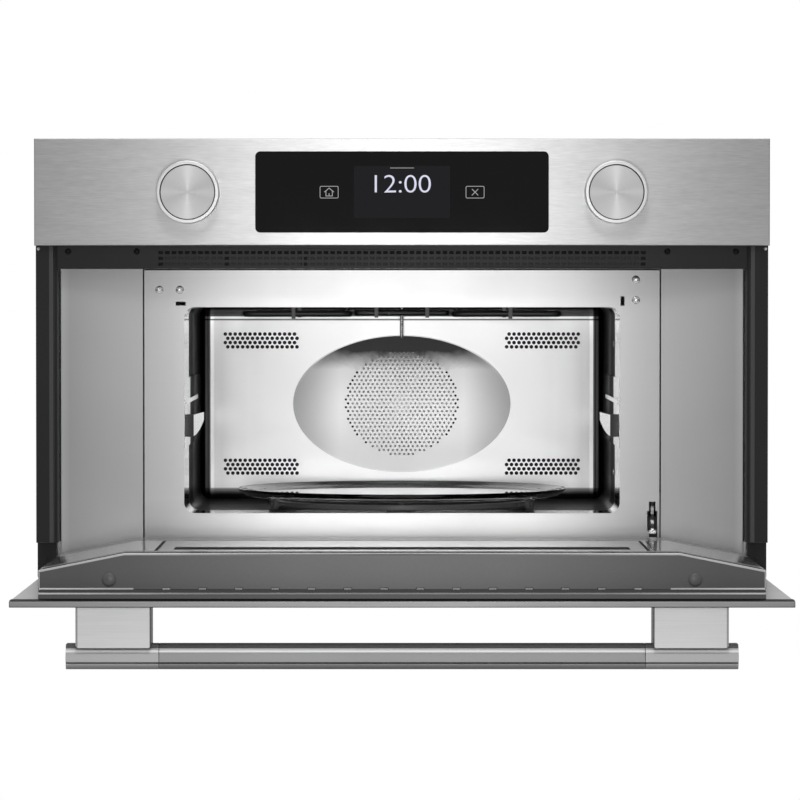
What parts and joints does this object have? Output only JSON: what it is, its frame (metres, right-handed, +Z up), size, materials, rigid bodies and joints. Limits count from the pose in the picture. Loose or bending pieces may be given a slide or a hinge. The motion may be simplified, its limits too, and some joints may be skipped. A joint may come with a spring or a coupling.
{
  "type": "built-in microwave",
  "caption": "Built-in microwave oven with a drop-down door, bar handle, knobs beside a display, a turntable and a fan-assisted cavity.",
  "frame": {"origin": "centre of the base plate's underside, on which the oven rests in its cabinet", "axes": "+X to the right seen from the front, +Y from the front to the back, +Z up"},
  "size_m": [0.7556, 0.8635, 0.5231],
  "materials": {
    "panel_steel": "horizontally brushed, satin",
    "display_glass": "gloss black, printed from behind",
    "dark_plastic": "fine texture",
    "circuit_board": "solder mask",
    "knob_steel": "spun face, polished bevel",
    "encoder_metal": "satin",
    "post_paint": "satin black",
    "galvanised": "zinc coated",
    "vent_paint": "satin dark grey",
    "screw_steel": "plated",
    "recess_paint": "satin grey",
    "cavity_steel": "bright rolled",
    "dish_steel": "polished",
    "heater_steel": "oxidised",
    "lamp_glass": "clear",
    "tray_glass": "clear",
    "heat_plastic": "smooth",
    "motor_metal": "satin",
    "fan_aluminium": "pressed",
    "mica": "pearly sheet",
    "magnetron_metal": "bare",
    "blower_plastic": "moulded",
    "door_steel": "brushed, satin",
    "door_black_glass": "tinted",
    "door_inner_glass": "clear",
    "door_frame": "satin black",
    "choke_plastic": "fine texture",
    "mesh_paint": "matt black",
    "bumper_rubber": "soft",
    "hinge_steel": "plated",
    "handle_steel": "brushed along its length",
    "lever_plastic": "smooth"
  },
  "bodies": {
    "chassis": {"control_panel": "panel_steel", "display_glass": "display_glass", "display_housing": "dark_plastic", "control_board": "circuit_board", "encoders": "encoder_metal", "frame_posts": "post_paint", "mounting_flange": "galvanised", "vent_grille": "vent_paint", "vent_baffle": "vent_paint", "grille_screws": "screw_steel", "side_liners": "recess_paint", "sill": "recess_paint", "cavity_plate": "cavity_steel", "cavity_screws": "screw_steel", "cavity_liner": "cavity_steel", "cavity_back": "cavity_steel", "fan_cover": "dish_steel", "rack_supports": "cavity_steel", "grill_heater": "heater_steel", "probe_rod": "screw_steel", "cavity_lamp": "lamp_glass", "turntable_motor": "motor_metal", "support_rails": "galvanised", "fan_chamber": "galvanised", "ring_heater": "heater_steel", "convection_motor": "motor_metal", "component_deck": "galvanised", "waveguide": "galvanised", "waveguide_cover": "mica", "magnetron": "magnetron_metal", "inverter": "circuit_board", "blower_housing": "blower_plastic", "blower_motor": "motor_metal", "base_plate": "galvanised", "outer_wrapper": "galvanised", "rear_cover": "galvanised", "cable_gland": "dark_plastic", "hinge_brackets": "hinge_steel", "interlock_switch": "dark_plastic"},
    "door": {"door_skin": "door_steel", "door_glass": "door_black_glass", "door_carrier": "door_frame", "door_cover": "choke_plastic", "door_inner_glass": "door_inner_glass", "door_mesh": "mesh_paint", "door_bumpers": "bumper_rubber", "hinge_arms": "hinge_steel", "handle_bar": "handle_steel", "handle_brackets": "handle_steel"},
    "knob_left": {"knob_left": "knob_steel"},
    "knob_right": {"knob_right": "knob_steel"},
    "tray": {"glass_tray": "tray_glass", "drive_coupler": "heat_plastic"},
    "roller_ring": {"roller_ring": "heat_plastic"},
    "roller_a": {"roller_a": "heat_plastic"},
    "roller_b": {"roller_b": "heat_plastic"},
    "roller_c": {"roller_c": "heat_plastic"},
    "convection_fan": {"convection_fan": "fan_aluminium"},
    "blower_wheel": {"blower_wheel": "blower_plastic"},
    "interlock_lever": {"interlock_lever": "lever_plastic"}
  },
  "joints": [
    {"name": "door_hinge", "type": "hinge", "parent": "chassis", "child": "door", "pos_m": [0, -0.2583, 0.0119], "axis": [-1, 0, 0], "range_deg": [0, 90]},
    {"name": "knob_left_turn", "type": "hinge", "parent": "chassis", "child": "knob_left", "pos_m": [-0.2192, -0.279, 0.3964], "axis": [0, -1, 0], "continuous": true},
    {"name": "knob_right_turn", "type": "hinge", "parent": "chassis", "child": "knob_right", "pos_m": [0.2192, -0.279, 0.3964], "axis": [0, -1, 0], "continuous": true},
    {"name": "turntable_spin", "type": "hinge", "parent": "chassis", "child": "tray", "pos_m": [0, -0.024, 0.0736], "axis": [0, 0, 1], "continuous": true},
    {"name": "roller_ring_spin", "type": "hinge", "parent": "chassis", "child": "roller_ring", "pos_m": [0, -0.024, 0.0673], "axis": [0, 0, 1], "continuous": true},
    {"name": "roller_a_spin", "type": "hinge", "parent": "roller_ring", "child": "roller_a", "pos_m": [-0.13597, -0.1025, 0.0673], "axis": [-0.866, -0.5, 0], "continuous": true},
    {"name": "roller_b_spin", "type": "hinge", "parent": "roller_ring", "child": "roller_b", "pos_m": [0.13597, -0.1025, 0.0673], "axis": [0.866, -0.5, 0], "continuous": true},
    {"name": "roller_c_spin", "type": "hinge", "parent": "roller_ring", "child": "roller_c", "pos_m": [0, 0.133, 0.0673], "axis": [0, 1, 0], "continuous": true},
    {"name": "convection_fan_spin", "type": "hinge", "parent": "chassis", "child": "convection_fan", "pos_m": [0, 0.221, 0.1686], "axis": [0, 1, 0], "continuous": true},
    {"name": "blower_spin", "type": "hinge", "parent": "chassis", "child": "blower_wheel", "pos_m": [0.24, 0.161, 0.34], "axis": [0, 0, 1], "continuous": true},
    {"name": "interlock_swing", "type": "hinge", "parent": "chassis", "child": "interlock_lever", "pos_m": [0.2605, -0.213, 0.074], "axis": [1, 0, 0], "range_deg": [0, 10]}
  ],
  "couplings": [
    {"joint": "roller_ring_spin", "follows": "turntable_spin", "ratio": 0.5},
    {"joint": "roller_a_spin", "follows": "turntable_spin", "ratio": -13.083},
    {"joint": "roller_b_spin", "follows": "turntable_spin", "ratio": -13.083},
    {"joint": "roller_c_spin", "follows": "turntable_spin", "ratio": -13.083},
    {"joint": "interlock_swing", "follows": "door_hinge", "ratio": 0.11111}
  ]
}
